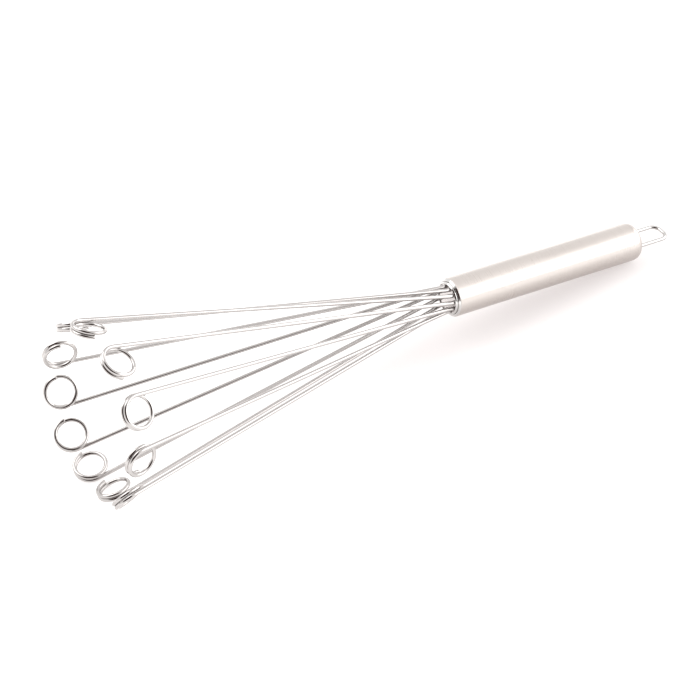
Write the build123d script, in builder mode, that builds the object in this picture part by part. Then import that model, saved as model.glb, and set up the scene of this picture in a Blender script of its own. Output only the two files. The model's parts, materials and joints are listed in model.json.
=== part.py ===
"""Hand whisk with eleven straight spring wires, each ending in a round coil. Millimetres, +Z up.

The whisk lies on a flat surface at z = 0, on the rim of the handle's rear end and on its two lowest coils.
The handle points along +X and the coils along -X. "Forward" means along the whisk's axis, towards the coils.
"""
import os
from math import atan2, cos, pi, radians, sin

from build123d import *

# Driving dimensions
HANDLE_DIAMETER = 19.0
HANDLE_LENGTH = 109.5
HANDLE_WALL = 0.8
WIRE_DIAMETER = 1.9
WIRE_CIRCLE_RADIUS = 6.0
TINE_COUNT = 11

# Pose of the whisk's axis as it lies at rest
AXIS_TILT = 6.8
MOUTH_CENTRE = Vector(34.29, -1.53, 21.98)

# Rear end
SHOULDER_RADIUS = 3.8
CAP_RIM = 4.4
CAP_SPIGOT = 6.0
CAP_WALL = 1.4
CAP_FLOOR = 1.6
LOOP_WIRE = 1.9
LOOP_WIDTH = 10.8
LOOP_REACH = 19.0
LOOP_CORNER = 4.3
LOOP_AZIMUTH = -92.5
LOOP_LEG_INSIDE = 9.0
ANCHOR_THICKNESS = 2.5
ANCHOR_CLEARANCE = 0.05
ANCHOR_STANDOFF = 0.2

# Front end
MOUTH_ROUNDING = 0.15
BEAD_OUTER_RADIUS = 9.4
BEAD_INNER_RADIUS = 8.25
BEAD_THICKNESS = 0.85
BEAD_SPIGOT = 1.5
BEAD_BEVEL = 0.7
RING_OUTER_RADIUS = 8.15
RING_WALL = 0.9
RING_FRONT = 2.0
RING_LENGTH = 8.0
RING_BEVEL = 0.55
EDGE_ROUNDING = 0.12
HOLDER_FRONT = 1.5
HOLDER_THICKNESS = 3.0
HOLE_COUNTERSINK = 0.2
FILLER_REAR = -18.0
FIT_GAP = 0.02

# Wires
ROOT_DEPTH = 13.0
BEND_FORWARD = 3.3
BEND_RADIUS = 12.0
FLEX_POINT = 24.0
FLEX_GAP = 0.5
WIRE_LENGTH = 184.0
COIL_RADIUS = 7.1
COIL_TURNS = 1.5
COIL_GAP = 0.05
COIL_LEAN = -4.0
FIRST_HOLE_AZIMUTH = -44.46
WIRE_LEAN = 56.0

# Each wire is bent by hand: azimuth offset (degrees), angle to the axis (degrees), extra length (mm)
HAND_SET = [
    (5.5, 11.0, 1.5),
    (3.5, 11.7, 0.0),
    (5.0, 11.2, -2.0),
    (-1.5, 9.7, -4.0),
    (0.0, 11.4, 2.0),
    (-5.0, 11.5, -2.0),
    (0.0, 11.6, 0.0),
    (7.5, 12.5, 1.5),
    (14.0, 11.5, 1.0),
    (7.5, 8.4, 2.5),
    (-0.5, 10.0, 1.0),
]

FORWARD = Vector(-cos(radians(AXIS_TILT)), 0, sin(radians(AXIS_TILT)))
UPWARD = Vector(sin(radians(AXIS_TILT)), 0, cos(radians(AXIS_TILT)))
TUBE_RADIUS = HANDLE_DIAMETER / 2
BORE_RADIUS = TUBE_RADIUS - HANDLE_WALL
WIRE_RADIUS = WIRE_DIAMETER / 2
COIL_PITCH = WIRE_DIAMETER + COIL_GAP
RING_INNER_RADIUS = RING_OUTER_RADIUS - RING_WALL
CAP_BORE_RADIUS = BORE_RADIUS - CAP_WALL


def cross_plane(forward, azimuth=0.0):
    """Plane across the axis, forward of the handle's mouth, with x turned by azimuth from straight up."""
    return Plane(origin=MOUTH_CENTRE + FORWARD * forward, x_dir=radial(azimuth), z_dir=FORWARD)


def radial(azimuth):
    """Unit vector square to the axis, turned about it by azimuth degrees from straight up."""
    side = FORWARD.cross(UPWARD)
    return UPWARD * cos(radians(azimuth)) + side * sin(radians(azimuth))


def hole_azimuth(index):
    return FIRST_HOLE_AZIMUTH - index * 360 / TINE_COUNT


def hole_locations():
    """Wire holes as seen on a plane across the axis."""
    return PolarLocations(WIRE_CIRCLE_RADIUS, TINE_COUNT, start_angle=FIRST_HOLE_AZIMUTH)


def write_piece(piece, name):
    piece.part.label = name
    export_step(piece.part, f"parts/{name}.step")


def make_handle_tube():
    """Straight open tube, the grip. Its rear end is closed by the end cap."""
    length = HANDLE_LENGTH - CAP_RIM
    with BuildPart() as tube:
        with BuildSketch(cross_plane(-length)):
            Circle(TUBE_RADIUS)
            Circle(BORE_RADIUS, mode=Mode.SUBTRACT)
        extrude(amount=length)
        mouth = tube.faces().sort_by(Axis(MOUTH_CENTRE, FORWARD))[-1]
        fillet(mouth.outer_wire().edges(), MOUTH_ROUNDING)
    return tube


def make_end_cap():
    """Rounded cap with a spigot pushed into the tube and two holes for the legs of the loop."""
    with BuildPart() as cap:
        with BuildSketch(cross_plane(-HANDLE_LENGTH)):
            Circle(TUBE_RADIUS)
        extrude(amount=CAP_RIM)
        rear_edge = cap.edges().filter_by(GeomType.CIRCLE).sort_by(Axis(MOUTH_CENTRE, FORWARD))[0]
        fillet(rear_edge, SHOULDER_RADIUS)
        with BuildSketch(cross_plane(-HANDLE_LENGTH + CAP_RIM)):
            Circle(BORE_RADIUS - FIT_GAP)
        extrude(amount=CAP_SPIGOT)
        with BuildSketch(cross_plane(-HANDLE_LENGTH + CAP_RIM + CAP_SPIGOT)):
            Circle(CAP_BORE_RADIUS)
        extrude(amount=-(CAP_RIM + CAP_SPIGOT - CAP_FLOOR), mode=Mode.SUBTRACT)
        with BuildSketch(cross_plane(-HANDLE_LENGTH, LOOP_AZIMUTH)):
            with GridLocations(LOOP_WIDTH, 0, 2, 1):
                Circle(LOOP_WIRE / 2 + FIT_GAP)
        extrude(amount=CAP_FLOOR, mode=Mode.SUBTRACT)
    return cap


def make_hanging_loop():
    """Wire bent to a U, its two legs running straight into the end cap."""
    half = LOOP_WIDTH / 2
    inside = -HANDLE_LENGTH + LOOP_LEG_INSIDE
    tip = -HANDLE_LENGTH - LOOP_REACH + LOOP_WIRE / 2
    across = radial(LOOP_AZIMUTH)
    corners = [
        MOUTH_CENTRE + FORWARD * inside + across * half,
        MOUTH_CENTRE + FORWARD * tip + across * half,
        MOUTH_CENTRE + FORWARD * tip - across * half,
        MOUTH_CENTRE + FORWARD * inside - across * half,
    ]
    with BuildPart() as loop:
        with BuildLine() as bend:
            FilletPolyline(*corners, radius=LOOP_CORNER)
        with BuildSketch(Plane(origin=corners[0], z_dir=-FORWARD)):
            Circle(LOOP_WIRE / 2)
        sweep(path=bend.line)
    return loop


def make_loop_anchor():
    """Disc inside the cap that the legs of the loop pass through and are fixed in."""
    with BuildPart() as anchor:
        with BuildSketch(cross_plane(-HANDLE_LENGTH + CAP_FLOOR + ANCHOR_STANDOFF, LOOP_AZIMUTH)):
            Circle(CAP_BORE_RADIUS - ANCHOR_CLEARANCE)
            with GridLocations(LOOP_WIDTH, 0, 2, 1):
                Circle(LOOP_WIRE / 2 + FIT_GAP, mode=Mode.SUBTRACT)
        extrude(amount=ANCHOR_THICKNESS)
    return anchor


def bevel_front(piece, width):
    """Bevels the outer front edge of a round piece at 45 degrees and rounds the two edges left by it."""
    along = Axis(MOUTH_CENTRE, FORWARD)
    front = piece.faces().sort_by(along)[-1]
    bevel = chamfer(front.outer_wire().edges(), width).faces().filter_by(GeomType.CONE)
    fillet(bevel.edges().filter_by(GeomType.CIRCLE), EDGE_ROUNDING)


def make_front_bead():
    """Polished bevelled bead over the mouth of the tube, with a spigot pressed into it."""
    with BuildPart() as bead:
        with BuildSketch(cross_plane(-BEAD_SPIGOT)):
            Circle(BORE_RADIUS - FIT_GAP)
        extrude(amount=BEAD_SPIGOT)
        with BuildSketch(cross_plane(0)):
            Circle(BEAD_OUTER_RADIUS)
        extrude(amount=BEAD_THICKNESS)
        bevel_front(bead, BEAD_BEVEL)
        with BuildSketch(cross_plane(-BEAD_SPIGOT)):
            Circle(BEAD_INNER_RADIUS)
        extrude(amount=BEAD_SPIGOT + BEAD_THICKNESS, mode=Mode.SUBTRACT)
    return bead


def make_inner_ring():
    """Slimmer polished ring inside the bead, whose bevelled lip stands further forward."""
    with BuildPart() as ring:
        with BuildSketch(cross_plane(RING_FRONT - RING_LENGTH)):
            Circle(RING_OUTER_RADIUS)
        extrude(amount=RING_LENGTH)
        bevel_front(ring, RING_BEVEL)
        with BuildSketch(cross_plane(RING_FRONT - RING_LENGTH)):
            Circle(RING_INNER_RADIUS)
        extrude(amount=RING_LENGTH, mode=Mode.SUBTRACT)
        front = ring.faces().sort_by(Axis(MOUTH_CENTRE, FORWARD))[-1]
        fillet(front.inner_wires().edges(), EDGE_ROUNDING)
    return ring


def make_tine_holder():
    """Disc just inside the ring's lip, with one countersunk hole for each wire."""
    with BuildPart() as holder:
        with BuildSketch(cross_plane(HOLDER_FRONT - HOLDER_THICKNESS)):
            Circle(RING_INNER_RADIUS - FIT_GAP)
            with hole_locations():
                Circle(WIRE_RADIUS + FIT_GAP, mode=Mode.SUBTRACT)
        extrude(amount=HOLDER_THICKNESS)
        front = holder.faces().sort_by(Axis(MOUTH_CENTRE, FORWARD))[-1]
        chamfer(front.inner_wires().edges(), HOLE_COUNTERSINK)
    return holder


def make_filler_plug():
    """Cast filling that seals the handle, seats the ring in a round groove and bonds the wires."""
    front = HOLDER_FRONT - HOLDER_THICKNESS - FIT_GAP
    ring_rear = RING_FRONT - RING_LENGTH - FIT_GAP
    with BuildPart() as filler:
        with BuildSketch(cross_plane(FILLER_REAR)):
            Circle(BORE_RADIUS - FIT_GAP)
            with hole_locations():
                Circle(WIRE_RADIUS + FIT_GAP, mode=Mode.SUBTRACT)
        extrude(amount=front - FILLER_REAR)
        with BuildSketch(cross_plane(ring_rear)):
            Circle(RING_OUTER_RADIUS + FIT_GAP)
            Circle(RING_INNER_RADIUS - FIT_GAP, mode=Mode.SUBTRACT)
        extrude(amount=front - ring_rear, mode=Mode.SUBTRACT)
    return filler


def wire_route(index):
    """Bend point, coil start, wire direction and inward normal of one wire."""
    offset, spread, extra = HAND_SET[index]
    azimuth = hole_azimuth(index) + WIRE_LEAN + offset
    length = WIRE_LENGTH + extra
    hole = MOUTH_CENTRE + radial(hole_azimuth(index)) * WIRE_CIRCLE_RADIUS
    bend_point = hole + FORWARD * BEND_FORWARD
    reach = WIRE_CIRCLE_RADIUS + length * sin(radians(spread))
    forward = BEND_FORWARD + length * cos(radians(spread))
    coil_start = MOUTH_CENTRE + radial(azimuth) * reach + FORWARD * forward
    direction = (coil_start - bend_point).normalized()
    inward = radial(azimuth) * -1
    inward = (inward - direction * inward.dot(direction)).normalized()
    inward = inward.rotate(Axis((0, 0, 0), direction), COIL_LEAN)
    return hole, bend_point, coil_start, direction, inward


def make_tine_root(index):
    """Clamped stretch of a wire, from inside the filling to the point where its flexing is centred."""
    hole, bend_point, _, direction, _ = wire_route(index)
    start = hole - FORWARD * ROOT_DEPTH
    end = bend_point + direction * (FLEX_POINT - FLEX_GAP / 2)
    with BuildPart() as root:
        with BuildLine() as path:
            FilletPolyline(start, bend_point, end, radius=BEND_RADIUS)
        with BuildSketch(Plane(origin=start, z_dir=FORWARD)):
            Circle(WIRE_RADIUS)
        sweep(path=path.line)
    return root


def make_tine(index):
    """Free stretch of a wire: a straight run, then a coil that winds inwards towards the whisk's axis."""
    _, bend_point, coil_start, direction, inward = wire_route(index)
    start = bend_point + direction * (FLEX_POINT + FLEX_GAP / 2)
    rise = atan2(COIL_PITCH, 2 * pi * COIL_RADIUS)
    tangent = direction * cos(rise) - inward * sin(rise)
    coil_axis = direction * sin(rise) + inward * cos(rise)
    outward = coil_axis.cross(tangent)
    coil_plane = Plane(origin=coil_start - outward * COIL_RADIUS, x_dir=outward, z_dir=coil_axis)
    coil_height = COIL_TURNS * COIL_PITCH
    coil = coil_plane.location * Edge.make_helix(COIL_PITCH, coil_height, COIL_RADIUS, lefthand=True)
    with BuildPart() as tine:
        with BuildLine() as path:
            Line(start, coil_start)
            add(coil)
        with BuildSketch(Plane(origin=start, z_dir=direction)):
            Circle(WIRE_RADIUS)
        sweep(path=path.line)
    return tine


os.makedirs("parts", exist_ok=True)
write_piece(make_handle_tube(), "handle_tube")
write_piece(make_end_cap(), "end_cap")
write_piece(make_hanging_loop(), "hanging_loop")
write_piece(make_loop_anchor(), "loop_anchor")
write_piece(make_front_bead(), "front_bead")
write_piece(make_inner_ring(), "inner_ring")
write_piece(make_tine_holder(), "tine_holder")
write_piece(make_filler_plug(), "filler_plug")
for number in range(TINE_COUNT):
    write_piece(make_tine_root(number), f"tine_root_{number + 1:02d}")
    write_piece(make_tine(number), f"tine_{number + 1:02d}")
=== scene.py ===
"""Studio scene of the coil-tipped wire whisk: brushed handle, polished rings and eleven spring wires."""
import json
from math import atan2, cos, pi, radians, sin

import bmesh
import bpy
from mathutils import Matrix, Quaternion, Vector


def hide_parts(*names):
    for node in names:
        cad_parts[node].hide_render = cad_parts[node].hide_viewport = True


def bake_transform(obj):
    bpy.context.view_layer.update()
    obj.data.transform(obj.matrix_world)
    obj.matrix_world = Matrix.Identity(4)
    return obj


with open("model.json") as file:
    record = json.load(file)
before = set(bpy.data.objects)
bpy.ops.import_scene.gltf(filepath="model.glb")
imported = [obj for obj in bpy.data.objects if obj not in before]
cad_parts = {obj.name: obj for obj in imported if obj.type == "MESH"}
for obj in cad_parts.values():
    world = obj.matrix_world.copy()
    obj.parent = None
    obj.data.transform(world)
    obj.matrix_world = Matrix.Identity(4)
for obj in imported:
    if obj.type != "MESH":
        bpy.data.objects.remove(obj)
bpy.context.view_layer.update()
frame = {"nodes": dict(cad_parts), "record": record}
RECORD = frame["record"]
MM = 0.001

# The wires' driving dimensions, in millimetres and degrees
WIRE_RADIUS = 0.95
WIRE_CIRCLE_RADIUS = 6.0
TINE_COUNT = 11
ROOT_DEPTH = 13.0
BEND_FORWARD = 3.3
BEND_RADIUS = 12.0
WIRE_LENGTH = 184.0
COIL_RADIUS = 7.1
COIL_TURNS = 1.5
COIL_PITCH = 1.95
COIL_LEAN = -4.0
FIRST_HOLE_AZIMUTH = -44.46
WIRE_LEAN = 56.0

# Each wire is bent by hand: azimuth offset (degrees), angle to the axis (degrees), extra length (mm)
HAND_SET = [
    (5.5, 11.0, 1.5),
    (3.5, 11.7, 0.0),
    (5.0, 11.2, -2.0),
    (-1.5, 9.7, -4.0),
    (0.0, 11.4, 2.0),
    (-5.0, 11.5, -2.0),
    (0.0, 11.6, 0.0),
    (7.5, 12.5, 1.5),
    (14.0, 11.5, 1.0),
    (7.5, 8.4, 2.5),
    (-0.5, 10.0, 1.0),
]

# Fineness of each wire's mesh: spacing along its straight runs in metres, steps in its bend and coil
ROOT_SPACING = 0.003
RUN_SPACING = 0.002
BEND_STEPS = 10
COIL_STEPS = 132
WIRE_SIDES = 28
# Rounded cut ends: distance in from the end and share of the radius there, both in wire radii
END_ROUNDING = [(0.0, 0.72), (0.10, 0.88), (0.22, 0.97)]

# The whisk's own axes, from the mount on its grip
GRIP = next(m for m in RECORD["mounts"] if m["name"] == "grip")
FORWARD = -Vector(GRIP["axis"]).normalized()
SIDE = Vector((0.0, 1.0, 0.0))
UPWARD = SIDE.cross(FORWARD)
MOUTH_CENTRE = Vector(GRIP["pos_m"]) + FORWARD * GRIP["dims"]["length_mm"] * MM / 2


# ---------------------------------------------------------------- materials

def new_material(name):
    """An empty node material with a principled shader: (material, nodes, links, shader)."""
    material = bpy.data.materials.new(name)
    material.use_nodes = True
    nodes, links = material.node_tree.nodes, material.node_tree.links
    return material, nodes, links, nodes["Principled BSDF"]


def add_noise(nodes, links, vector, scale, detail=3.0, roughness=0.5):
    noise = nodes.new("ShaderNodeTexNoise")
    noise.inputs["Scale"].default_value = scale
    noise.inputs["Detail"].default_value = detail
    noise.inputs["Roughness"].default_value = roughness
    links.new(vector, noise.inputs["Vector"])
    return noise.outputs["Fac"]


def add_range(nodes, links, value, low, high, start=0.0, end=1.0):
    """Maps value from start..end to low..high."""
    ranged = nodes.new("ShaderNodeMapRange")
    ranged.inputs["From Min"].default_value = start
    ranged.inputs["From Max"].default_value = end
    ranged.inputs["To Min"].default_value = low
    ranged.inputs["To Max"].default_value = high
    links.new(value, ranged.inputs["Value"])
    return ranged.outputs["Result"]


def add_mix(nodes, links, factor, dark, light):
    """Mixes two colours by factor."""
    mix = nodes.new("ShaderNodeMix")
    mix.data_type = "RGBA"
    mix.inputs["A"].default_value = (*dark, 1.0)
    mix.inputs["B"].default_value = (*light, 1.0)
    links.new(factor, mix.inputs["Factor"])
    return mix.outputs["Result"]


def add_bump(nodes, links, shader, height, distance, strength):
    bump = nodes.new("ShaderNodeBump")
    bump.inputs["Strength"].default_value = strength
    bump.inputs["Distance"].default_value = distance
    links.new(height, bump.inputs["Height"])
    links.new(bump.outputs["Normal"], shader.inputs["Normal"])


def add_math(nodes, links, operation, first, second):
    """A math node; each input is an output socket or a number."""
    node = nodes.new("ShaderNodeMath")
    node.operation = operation
    for socket, value in zip(node.inputs, (first, second)):
        if isinstance(value, (int, float)):
            socket.default_value = value
        else:
            links.new(value, socket)
    return node.outputs["Value"]


def axis_coordinates(nodes, links):
    """Object coordinates turned to the whisk's own axes: x along it, y and z across it, in metres."""
    place = nodes.new("ShaderNodeTexCoord").outputs["Object"]
    parts = []
    for axis in (FORWARD, UPWARD, SIDE):
        dot = nodes.new("ShaderNodeVectorMath")
        dot.operation = "DOT_PRODUCT"
        dot.inputs[1].default_value = axis
        links.new(place, dot.inputs[0])
        parts.append(dot.outputs["Value"])
    return parts


def combine(nodes, links, x, y, z):
    joined = nodes.new("ShaderNodeCombineXYZ")
    for socket, value in zip(joined.inputs, (x, y, z)):
        links.new(value, socket)
    return joined.outputs["Vector"]


def stretched(nodes, links, parts, along, across):
    """Axis coordinates with their own scale along and across the whisk's axis."""
    scaled = [add_math(nodes, links, "MULTIPLY", parts[0], along)]
    scaled += [add_math(nodes, links, "MULTIPLY", part, across) for part in parts[1:]]
    return combine(nodes, links, *scaled)


def brushed_tube_material():
    """Satin stainless steel, belt-ground round the tube, with faint handling marks."""
    material, nodes, links, shader = new_material("brushed_tube")
    parts = axis_coordinates(nodes, links)
    fine = add_noise(nodes, links, stretched(nodes, links, parts, 5200.0, 45.0), 1.0, 4.0, 0.65)
    coarse = add_noise(nodes, links, stretched(nodes, links, parts, 900.0, 30.0), 1.0, 3.0, 0.6)
    cloud = add_noise(nodes, links, stretched(nodes, links, parts, 60.0, 90.0), 1.0, 3.0, 0.5)
    grain = add_math(nodes, links, "ADD", fine, add_math(nodes, links, "MULTIPLY", coarse, 0.3))
    tone = add_range(nodes, links, grain, 0.0, 1.0, 0.30, 1.00)
    colour = add_mix(nodes, links, tone, (0.53, 0.488, 0.460), (0.575, 0.535, 0.508))
    links.new(colour, shader.inputs["Base Color"])
    worn = add_math(nodes, links, "ADD", add_range(nodes, links, fine, 0.22, 0.36),
                    add_range(nodes, links, cloud, -0.04, 0.05))
    links.new(worn, shader.inputs["Roughness"])
    add_bump(nodes, links, shader, fine, 0.00001, 0.3)
    shader.inputs["Metallic"].default_value = 1.0
    shader.inputs["Anisotropic"].default_value = 0.35
    return material


def polished_material():
    """Mirror-polished stainless rings with hairline scratches round them."""
    material, nodes, links, shader = new_material("polished_rings")
    parts = axis_coordinates(nodes, links)
    hairline = add_noise(nodes, links, stretched(nodes, links, parts, 2600.0, 120.0), 1.0, 2.0, 0.5)
    smudge = add_noise(nodes, links, stretched(nodes, links, parts, 220.0, 220.0), 1.0, 4.0, 0.6)
    gloss = add_math(nodes, links, "ADD", add_range(nodes, links, hairline, 0.03, 0.10),
                     add_range(nodes, links, smudge, -0.02, 0.07))
    links.new(gloss, shader.inputs["Roughness"])
    colour = add_mix(nodes, links, smudge, (0.56, 0.55, 0.54), (0.64, 0.63, 0.62))
    links.new(colour, shader.inputs["Base Color"])
    add_bump(nodes, links, shader, hairline, 0.00001, 0.2)
    shader.inputs["Metallic"].default_value = 1.0
    return material


def bright_wire_material():
    """Bright drawn spring wire: draw lines along it, a little mottling and wear. Reads the wire's own UVs."""
    material, nodes, links, shader = new_material("bright_wire")
    uv = nodes.new("ShaderNodeUVMap")
    uv.uv_map = "wire"
    split = nodes.new("ShaderNodeSeparateXYZ")
    links.new(uv.outputs["UV"], split.inputs["Vector"])
    angle = add_math(nodes, links, "MULTIPLY", split.outputs["Y"], 2 * pi)
    around_x = add_math(nodes, links, "COSINE", angle, 0.0)
    around_y = add_math(nodes, links, "SINE", angle, 0.0)
    slow = add_math(nodes, links, "MULTIPLY", split.outputs["X"], 3.0)
    quick = add_math(nodes, links, "MULTIPLY", split.outputs["X"], 60.0)
    lines = combine(nodes, links, slow, around_x, around_y)
    marks = combine(nodes, links, quick, around_x, around_y)
    drawn = add_noise(nodes, links, lines, 9.0, 4.0, 0.65)
    mottle = add_noise(nodes, links, marks, 1.6, 4.0, 0.6)
    colour = add_mix(nodes, links, mottle, (0.42, 0.400, 0.390), (0.53, 0.510, 0.500))
    links.new(colour, shader.inputs["Base Color"])
    gloss = add_math(nodes, links, "ADD", add_range(nodes, links, drawn, 0.03, 0.07, 0.3, 0.7),
                     add_range(nodes, links, mottle, -0.01, 0.04, 0.3, 0.7))
    links.new(gloss, shader.inputs["Roughness"])
    add_bump(nodes, links, shader, drawn, 0.000006, 0.25)
    shader.inputs["Metallic"].default_value = 1.0
    return material


def loop_wire_material():
    """The hanging loop's wire: polished, with fine marks where it hangs on hooks."""
    material, nodes, links, shader = new_material("loop_wire")
    place = nodes.new("ShaderNodeTexCoord").outputs["Object"]
    marks = add_noise(nodes, links, place, 1800.0, 3.0, 0.6)
    mottle = add_noise(nodes, links, place, 260.0, 4.0, 0.55)
    colour = add_mix(nodes, links, mottle, (0.47, 0.455, 0.445), (0.56, 0.55, 0.54))
    links.new(colour, shader.inputs["Base Color"])
    gloss = add_math(nodes, links, "ADD", add_range(nodes, links, marks, 0.08, 0.18, 0.3, 0.7),
                     add_range(nodes, links, mottle, -0.02, 0.06, 0.3, 0.7))
    links.new(gloss, shader.inputs["Roughness"])
    add_bump(nodes, links, shader, marks, 0.00001, 0.2)
    shader.inputs["Metallic"].default_value = 1.0
    return material


def plain_steel_material(name, dark, light, gloss):
    """Pressed steel: a fine speckled grain between two tones, with roughness from gloss."""
    material, nodes, links, shader = new_material(name)
    place = nodes.new("ShaderNodeTexCoord").outputs["Object"]
    grain = add_noise(nodes, links, place, 1500.0, 5.0, 0.7)
    links.new(add_mix(nodes, links, grain, dark, light), shader.inputs["Base Color"])
    links.new(add_range(nodes, links, grain, *gloss), shader.inputs["Roughness"])
    add_bump(nodes, links, shader, grain, 0.00002, 0.3)
    shader.inputs["Metallic"].default_value = 1.0
    return material


def filler_material():
    """Dark cast resin with a slightly uneven skin."""
    material, nodes, links, shader = new_material("filler")
    place = nodes.new("ShaderNodeTexCoord").outputs["Object"]
    lump = add_noise(nodes, links, place, 500.0, 5.0, 0.6)
    colour = add_mix(nodes, links, lump, (0.030, 0.027, 0.025), (0.075, 0.070, 0.066))
    links.new(colour, shader.inputs["Base Color"])
    links.new(add_range(nodes, links, lump, 0.45, 0.70), shader.inputs["Roughness"])
    add_bump(nodes, links, shader, lump, 0.0001, 0.5)
    return material


# ---------------------------------------------------------------- wires

def radial(azimuth):
    """Unit vector square to the whisk's axis, turned about it by azimuth degrees from straight up."""
    return UPWARD * cos(radians(azimuth)) + SIDE * sin(radians(azimuth))


def wire_frame(index):
    """Hole centre, bend point, coil start, wire direction and inward normal of one wire."""
    offset, spread, extra = HAND_SET[index]
    hole_azimuth = FIRST_HOLE_AZIMUTH - index * 360 / TINE_COUNT
    azimuth = hole_azimuth + WIRE_LEAN + offset
    length = WIRE_LENGTH + extra
    hole = MOUTH_CENTRE + radial(hole_azimuth) * WIRE_CIRCLE_RADIUS * MM
    bend_point = hole + FORWARD * BEND_FORWARD * MM
    reach = WIRE_CIRCLE_RADIUS + length * sin(radians(spread))
    forward = BEND_FORWARD + length * cos(radians(spread))
    coil_start = MOUTH_CENTRE + radial(azimuth) * reach * MM + FORWARD * forward * MM
    direction = (coil_start - bend_point).normalized()
    inward = -radial(azimuth)
    inward = (inward - direction * inward.dot(direction)).normalized()
    inward = Quaternion(direction, radians(COIL_LEAN)) @ inward
    return hole, bend_point, coil_start, direction, inward


def run_points(start, end, spacing):
    """Points from start up to, but not including, end."""
    count = max(1, round((end - start).length / spacing))
    return [start.lerp(end, step / count) for step in range(count)]


def arc_points(corner, before, after, radius, steps):
    """Arc tangent to two runs that meet at corner: its points, from the run before to the run after."""
    turn = before.angle(after)
    tangent_length = radius * sin(turn / 2) / cos(turn / 2)
    start = corner - before * tangent_length
    normal = (after - before * after.dot(before)).normalized()
    centre = start + normal * radius
    points = []
    for step in range(steps + 1):
        angle = turn * step / steps
        points.append(centre - normal * radius * cos(angle) + before * radius * sin(angle))
    return points


def coil_points(coil_start, direction, inward, steps):
    """Coil of one and a half turns that starts along direction and winds inwards."""
    rise = atan2(COIL_PITCH, 2 * pi * COIL_RADIUS)
    tangent = direction * cos(rise) - inward * sin(rise)
    coil_axis = direction * sin(rise) + inward * cos(rise)
    outward = coil_axis.cross(tangent)
    radius = COIL_RADIUS * MM
    centre = coil_start - outward * radius
    points = []
    for step in range(steps + 1):
        turned = 2 * pi * COIL_TURNS * step / steps
        around = outward * cos(turned) + tangent * sin(turned)
        points.append(centre + around * radius + coil_axis * COIL_PITCH * MM * turned / (2 * pi))
    return points


def tube_mesh(name, points, radius, sides):
    """Round bar along points, with rounded cut ends and a UV map: metres along, share of the way round."""
    mesh = bpy.data.meshes.new(name)
    bm = bmesh.new()
    uv_layer = bm.loops.layers.uv.new("wire")
    length_to = [0.0]
    for a, b in zip(points, points[1:]):
        length_to.append(length_to[-1] + (b - a).length)
    before, after = points[:1] + points[:-1], points[1:] + points[-1:]
    tangents = [(b - a).normalized() for a, b in zip(before, after)]
    normal = tangents[0].orthogonal().normalized()
    sections = []
    for point, tangent, distance in zip(points, tangents, length_to):
        normal = (normal - tangent * normal.dot(tangent)).normalized()
        sections.append((point, tangent, normal, distance))
    first, last = sections[0], sections[-1]
    head, tail = [], []
    for inset, share in END_ROUNDING:
        step = radius * inset
        head.append((first[0] + first[1] * step, first[1], first[2], step, share))
        tail.insert(0, (last[0] - last[1] * step, last[1], last[2], last[3] - step, share))
    body = [(*section, 1.0) for section in sections[1:-1]]
    rings, along = [], []
    for point, tangent, across, distance, share in head + body + tail:
        other = tangent.cross(across)
        ring = []
        for side in range(sides):
            angle = 2 * pi * side / sides
            ring.append(bm.verts.new(point + (across * cos(angle) + other * sin(angle)) * radius * share))
        rings.append(ring)
        along.append(distance)
    for i in range(len(rings) - 1):
        for side in range(sides):
            beside = (side + 1) % sides
            face = bm.faces.new((rings[i][side], rings[i][beside], rings[i + 1][beside], rings[i + 1][side]))
            face.smooth = True
            corners = ((i, side), (i, side + 1), (i + 1, side + 1), (i + 1, side))
            for loop, (ring_index, step) in zip(face.loops, corners):
                loop[uv_layer].uv = (along[ring_index], step / sides)
    for ring, distance, flip in ((rings[0], along[0], True), (rings[-1], along[-1], False)):
        cap = bm.faces.new(ring[::-1] if flip else ring)
        for loop in cap.loops:
            loop[uv_layer].uv = (distance, 0.5)
    bm.to_mesh(mesh)
    bm.free()
    return mesh


def make_wire(index, material):
    """One whole spring wire, from inside the handle to the end of its coil, with a fixed bend just past the
    mouth.
    """
    number = f"{index + 1:02d}"
    hole, bend_point, coil_start, direction, inward = wire_frame(index)
    root = hole - FORWARD * ROOT_DEPTH * MM
    bend = arc_points(bend_point, FORWARD, direction, BEND_RADIUS * MM, BEND_STEPS)
    points = run_points(root, bend[0], ROOT_SPACING)
    points += bend[:-1]
    points += run_points(bend[-1], coil_start, RUN_SPACING)
    points += coil_points(coil_start, direction, inward, COIL_STEPS)
    mesh = tube_mesh(f"wire_{number}", points, WIRE_RADIUS * MM, WIRE_SIDES)
    wire = bpy.data.objects.new(f"wire_{number}", mesh)
    bpy.context.scene.collection.objects.link(wire)
    mesh.materials.append(material)
    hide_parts(f"tine_{number}", f"tine_root_{number}")
    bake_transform(wire)


# ---------------------------------------------------------------- CAD nodes

def dress_nodes():
    """Gives each CAD node that stays its material."""
    tube = brushed_tube_material()
    polished = polished_material()
    dull = plain_steel_material("plain_steel", (0.20, 0.19, 0.185), (0.42, 0.41, 0.40), (0.32, 0.55))
    bright = plain_steel_material("holder_steel", (0.66, 0.63, 0.62), (0.78, 0.75, 0.74), (0.16, 0.28))
    finishes = {
        "handle_tube": tube,
        "end_cap": tube,
        "hanging_loop": loop_wire_material(),
        "loop_anchor": dull,
        "front_bead": polished,
        "inner_ring": polished,
        "tine_holder": bright,
        "filler_plug": filler_material(),
    }
    for node, material in finishes.items():
        mesh = frame["nodes"][node].data
        mesh.materials.clear()
        mesh.materials.append(material)


# ---------------------------------------------------------------- stage

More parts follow.
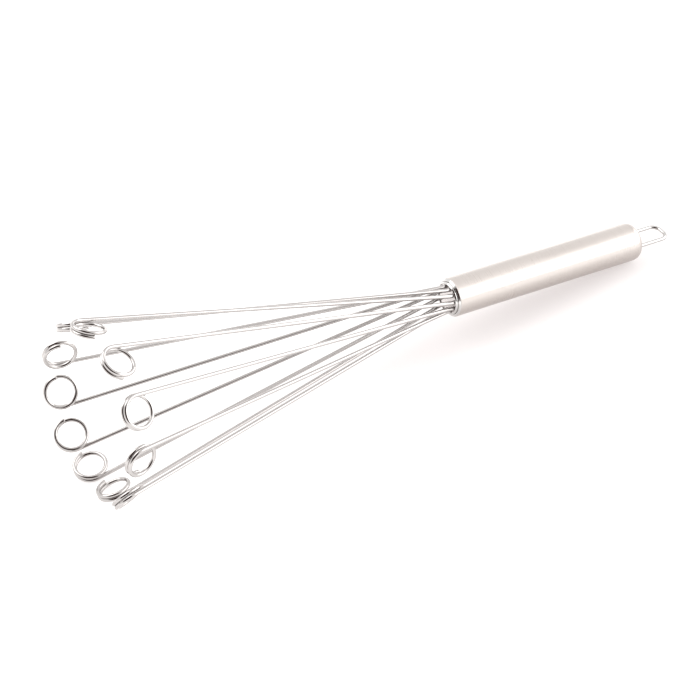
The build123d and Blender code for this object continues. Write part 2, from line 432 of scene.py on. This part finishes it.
# Studio: directions in degrees, softbox sizes in metres, brightness against the floor's white
FLOOR_SIZE = 8.0
FLOOR_ROUGHNESS = 0.7
FLOOR_COLOUR = (0.46, 0.46, 0.46)
# Floor glow near the handle is painted shade, and its pink is a painted warm reflection from the handle;
# squeeze, shift and reach shape that painted shade
FLOOR_PAINTED_SHADE_NEAR = (0.395, 0.355, 0.350)
FLOOR_GLOW_FAR = (1.15, 1.14, 1.13)
FLOOR_PAINTED_SHADE_SQUEEZE = (0.22, 1.0, 1.0)
FLOOR_PAINTED_SHADE_SHIFT = (-0.016, 0.0, 0.0)
FLOOR_PAINTED_SHADE_REACH = 0.10
SURROUND_COLOUR = (1.30, 1.285, 1.28)
GAP_COLOUR = (0.070, 0.044, 0.040)
GAP_CENTRE = (-38.5, 36.0)
GAP_HALF_WIDTH = 33.0
GAP_HALF_HEIGHT = 44.0
GAP_TILT = 36.0
GAP_SQUARENESS = 3.5
GAP_EDGE = (0.7, 1.4)
SOFTBOX_DISTANCE = 1.25
# Softboxes: name, azimuth, elevation, width, height, radiance
SOFTBOXES = [
    ("softbox_right", 62.0, 26.0, 1.9, 0.84, 2.1),
    ("softbox_left", -145.0, 50.0, 1.0, 0.9, 2.0),
]


def make_floor():
    """White acrylic table that glows: dimmer under the handle as painted shade, pinker there as a painted
    warm reflection from the handle, brighter further out.
    """
    bpy.ops.mesh.primitive_plane_add(size=FLOOR_SIZE, location=(0.0, 0.0, 0.0))
    floor = bpy.context.object
    floor.name = "floor"
    material, nodes, links, shader = new_material("floor_acrylic_painted_shade")
    place = nodes.new("ShaderNodeTexCoord").outputs["Object"]
    squeezed = nodes.new("ShaderNodeVectorMath")
    squeezed.operation = "MULTIPLY_ADD"
    squeezed.inputs[1].default_value = FLOOR_PAINTED_SHADE_SQUEEZE
    squeezed.inputs[2].default_value = FLOOR_PAINTED_SHADE_SHIFT
    links.new(place, squeezed.inputs[0])
    distance = nodes.new("ShaderNodeVectorMath")
    distance.operation = "LENGTH"
    links.new(squeezed.outputs["Vector"], distance.inputs[0])
    # Painted shade under the handle, fading out into the bright glow further out
    painted_shade_fade = add_range(nodes, links, distance.outputs["Value"], 0.0, 1.0, 0.0, FLOOR_PAINTED_SHADE_REACH)
    links.new(add_mix(nodes, links, painted_shade_fade, FLOOR_PAINTED_SHADE_NEAR, FLOOR_GLOW_FAR), shader.inputs["Emission Color"])
    shader.inputs["Emission Strength"].default_value = 1.0
    shader.inputs["Base Color"].default_value = (*FLOOR_COLOUR, 1.0)
    shader.inputs["Roughness"].default_value = FLOOR_ROUGHNESS
    floor.data.materials.append(material)


def heading(azimuth, elevation):
    """Unit vector towards azimuth (degrees, from -Y towards +X) and elevation (degrees)."""
    a, e = radians(azimuth), radians(elevation)
    return Vector((sin(a) * cos(e), -cos(a) * cos(e), sin(e)))


def add_surround():
    """White tent all round, with a dim warm gap, a soft-edged tilted box, beside the photographer."""
    world = bpy.data.worlds.new("surround")
    world.use_nodes = True
    nodes, links = world.node_tree.nodes, world.node_tree.links
    toward = heading(*GAP_CENTRE)
    level = Vector((0.0, 0.0, 1.0)).cross(toward).normalized()
    tilted = Quaternion(toward, radians(GAP_TILT)) @ level
    gaze = nodes.new("ShaderNodeTexCoord").outputs["Generated"]
    shares = []
    for axis, half_angle in ((tilted, GAP_HALF_WIDTH), (toward.cross(tilted), GAP_HALF_HEIGHT)):
        dot = nodes.new("ShaderNodeVectorMath")
        dot.operation = "DOT_PRODUCT"
        dot.inputs[1].default_value = axis / sin(radians(half_angle))
        links.new(gaze, dot.inputs[0])
        share = add_math(nodes, links, "ABSOLUTE", dot.outputs["Value"], 0.0)
        shares.append(add_math(nodes, links, "POWER", share, GAP_SQUARENESS))
    facing = nodes.new("ShaderNodeVectorMath")
    facing.operation = "DOT_PRODUCT"
    facing.inputs[1].default_value = toward
    links.new(gaze, facing.inputs[0])
    behind = add_math(nodes, links, "LESS_THAN", facing.outputs["Value"], 0.0)
    reach = add_math(nodes, links, "ADD", add_math(nodes, links, "ADD", *shares), behind)
    wall = add_range(nodes, links, reach, 0.0, 1.0, *GAP_EDGE)
    colour = add_mix(nodes, links, wall, GAP_COLOUR, SURROUND_COLOUR)
    links.new(colour, nodes["Background"].inputs["Color"])
    bpy.context.scene.world = world


def add_softbox(name, azimuth, elevation, width, height, radiance):
    """Softbox that faces the whisk from a metre and a quarter away."""
    data = bpy.data.lights.new(name, "AREA")
    data.shape = "RECTANGLE"
    data.size, data.size_y = width, height
    data.energy = radiance * pi * width * height
    light = bpy.data.objects.new(name, data)
    away = heading(azimuth, elevation)
    light.location = away * SOFTBOX_DISTANCE
    light.rotation_mode = "QUATERNION"
    light.rotation_quaternion = (-away).to_track_quat("-Z", "Y")
    bpy.context.scene.collection.objects.link(light)


def make_lights():
    add_surround()
    for softbox in SOFTBOXES:
        add_softbox(*softbox)


# The photographer's place and lens: angles in degrees, distance in metres, lens and sensor in millimetres
SENSOR_WIDTH = 36.0
VIEW_AZIMUTH = -29.08
VIEW_ELEVATION = 39.69
VIEW_ROLL = -3.6
VIEW_DISTANCE = 0.9692
VIEW_TARGET = Vector((-0.03578, -0.0266, 0.040))
VIEW_LENS = 110.9


def make_camera():
    data = bpy.data.cameras.new("camera")
    data.lens = VIEW_LENS
    data.sensor_width = SENSOR_WIDTH
    camera = bpy.data.objects.new("camera", data)
    back = heading(VIEW_AZIMUTH, VIEW_ELEVATION)
    camera.location = VIEW_TARGET + back * VIEW_DISTANCE
    camera.rotation_mode = "QUATERNION"
    roll = Quaternion((0.0, 0.0, 1.0), radians(VIEW_ROLL))
    camera.rotation_quaternion = (-back).to_track_quat("-Z", "Y") @ roll
    bpy.context.scene.collection.objects.link(camera)
    bpy.context.scene.camera = camera


make_camera()
make_floor()
make_lights()
dress_nodes()
wire_material = bright_wire_material()
for wire_index in range(TINE_COUNT):
    make_wire(wire_index, wire_material)

bpy.context.scene.view_settings.view_transform = "Standard"
bpy.context.view_layer.update()
